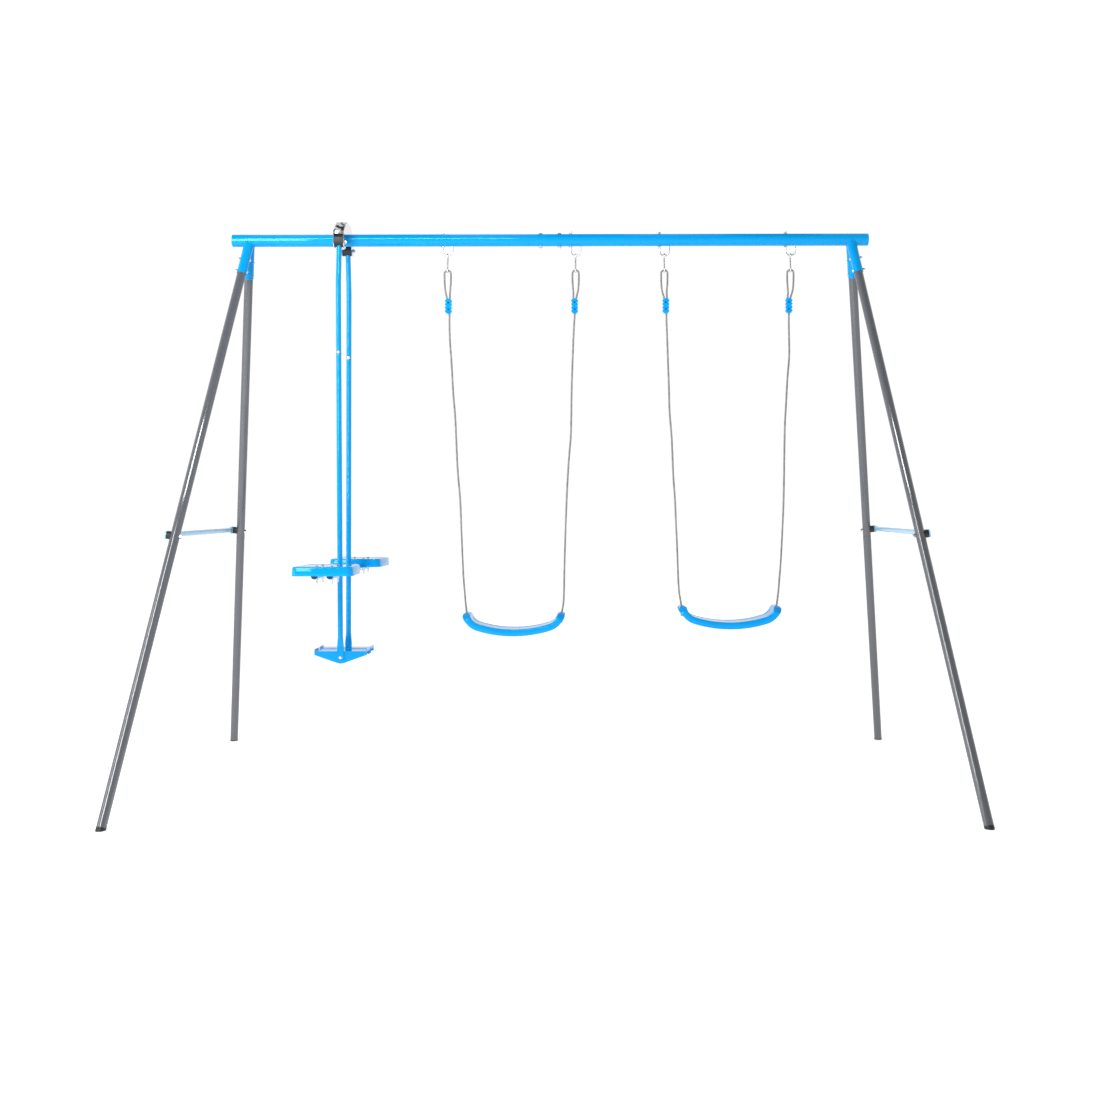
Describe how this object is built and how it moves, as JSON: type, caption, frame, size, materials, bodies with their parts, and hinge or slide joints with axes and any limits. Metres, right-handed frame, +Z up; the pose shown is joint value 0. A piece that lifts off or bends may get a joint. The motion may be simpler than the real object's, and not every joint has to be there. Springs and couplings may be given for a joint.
{
  "type": "swing set",
  "caption": "Free-standing garden swing set: a round top beam on splayed A-frame legs with side braces, carrying rope-hung belt swings and a face-to-face glider.",
  "frame": {"origin": "on the ground, midway between the four feet", "axes": "+X along the beam towards the end with the belt swings, +Z up, -Y the front"},
  "size_m": [2.8122, 1.5342, 2.065],
  "materials": {
    "blue_paint": "satin-gloss powder coat",
    "grey_paint": "satin powder coat",
    "navy_plastic": "moulded",
    "black_plastic": "moulded nylon",
    "zinc_steel": "bright zinc plate",
    "chromed_sheet": "polished",
    "blue_plastic": "semi-gloss moulded",
    "grey_rope": "laid synthetic rope"
  },
  "bodies": {
    "frame": {"beam_left": "blue_paint", "beam_right": "blue_paint", "side_brace_left": "blue_paint", "side_brace_right": "blue_paint", "leg_socket_left_front": "blue_paint", "leg_socket_left_rear": "blue_paint", "leg_socket_right_front": "blue_paint", "leg_socket_right_rear": "blue_paint", "leg_upper_left_front": "grey_paint", "leg_upper_left_rear": "grey_paint", "leg_upper_right_front": "grey_paint", "leg_upper_right_rear": "grey_paint", "leg_lower_left_front": "grey_paint", "leg_lower_left_rear": "grey_paint", "leg_lower_right_front": "grey_paint", "leg_lower_right_rear": "grey_paint", "beam_end_caps": "navy_plastic", "foot_caps": "black_plastic", "brace_spacers": "black_plastic", "beam_joint_bolts": "zinc_steel", "foot_screws": "zinc_steel", "socket_bolts": "zinc_steel", "socket_nuts": "zinc_steel", "brace_bolts": "zinc_steel", "frame_nuts": "zinc_steel", "swing_hook_nuts": "zinc_steel", "bracket_bolts": "zinc_steel", "swing_hook_1": "zinc_steel", "swing_hook_2": "zinc_steel", "swing_hook_3": "zinc_steel", "swing_hook_4": "zinc_steel", "glider_bracket": "chromed_sheet"},
    "glider_front_hanger": {"hanger_upper_front": "blue_paint", "hanger_lower_front": "blue_paint", "hanger_bush_front": "black_plastic", "hanger_fixings_front": "zinc_steel", "footrest_front": "blue_paint"},
    "glider_rear_hanger": {"hanger_upper_rear": "blue_paint", "hanger_lower_rear": "blue_paint", "hanger_bush_rear": "black_plastic", "hanger_fixings_rear": "zinc_steel", "footrest_rear": "blue_paint"},
    "glider_seats": {"seat_bar_left": "blue_paint", "seat_bar_right": "blue_paint", "seat_bar_plugs": "navy_plastic", "seat_pivot_bolts": "zinc_steel", "seat_pivot_spacers": "black_plastic", "glider_seat_front": "blue_plastic", "glider_seat_rear": "blue_plastic", "glider_seat_bolts": "zinc_steel"},
    "swing_left_links": {"swing_links_left": "zinc_steel"},
    "swing_left": {"rope_1": "grey_rope", "rope_2": "grey_rope", "rope_adjusters_left": "blue_plastic", "swing_seat_left": "blue_plastic"},
    "swing_right_links": {"swing_links_right": "zinc_steel"},
    "swing_right": {"rope_3": "grey_rope", "rope_4": "grey_rope", "rope_adjusters_right": "blue_plastic", "swing_seat_right": "blue_plastic"}
  },
  "joints": [
    {"name": "glider_front_pivot", "type": "hinge", "parent": "frame", "child": "glider_front_hanger", "pos_m": [-0.769, -0.084, 1.977], "axis": [1, 0, 0], "range_deg": [-30, 30]},
    {"name": "glider_rear_pivot", "type": "hinge", "parent": "frame", "child": "glider_rear_hanger", "pos_m": [-0.769, 0.084, 1.977], "axis": [1, 0, 0], "range_deg": [-30, 30]},
    {"name": "glider_seat_pivot", "type": "hinge", "parent": "glider_front_hanger", "child": "glider_seats", "pos_m": [-0.769, -0.084, 0.775], "axis": [1, 0, 0], "range_deg": [-30, 30]},
    {"name": "swing_left_hook_pivot", "type": "hinge", "parent": "frame", "child": "swing_left_links", "pos_m": [-0.144, 0, 1.941], "axis": [1, 0, 0], "range_deg": [-55, 55]},
    {"name": "swing_left_rope_pivot", "type": "hinge", "parent": "swing_left_links", "child": "swing_left", "pos_m": [-0.144, 0, 1.888], "axis": [1, 0, 0], "range_deg": [-25, 25]},
    {"name": "swing_right_hook_pivot", "type": "hinge", "parent": "frame", "child": "swing_right_links", "pos_m": [0.6585, 0, 1.941], "axis": [1, 0, 0], "range_deg": [-55, 55]},
    {"name": "swing_right_rope_pivot", "type": "hinge", "parent": "swing_right_links", "child": "swing_right", "pos_m": [0.6585, 0, 1.888], "axis": [1, 0, 0], "range_deg": [-25, 25]}
  ],
  "couplings": [
    {"joint": "glider_rear_pivot", "follows": "glider_front_pivot", "ratio": 1},
    {"joint": "glider_seat_pivot", "follows": "glider_front_pivot", "ratio": -1}
  ]
}
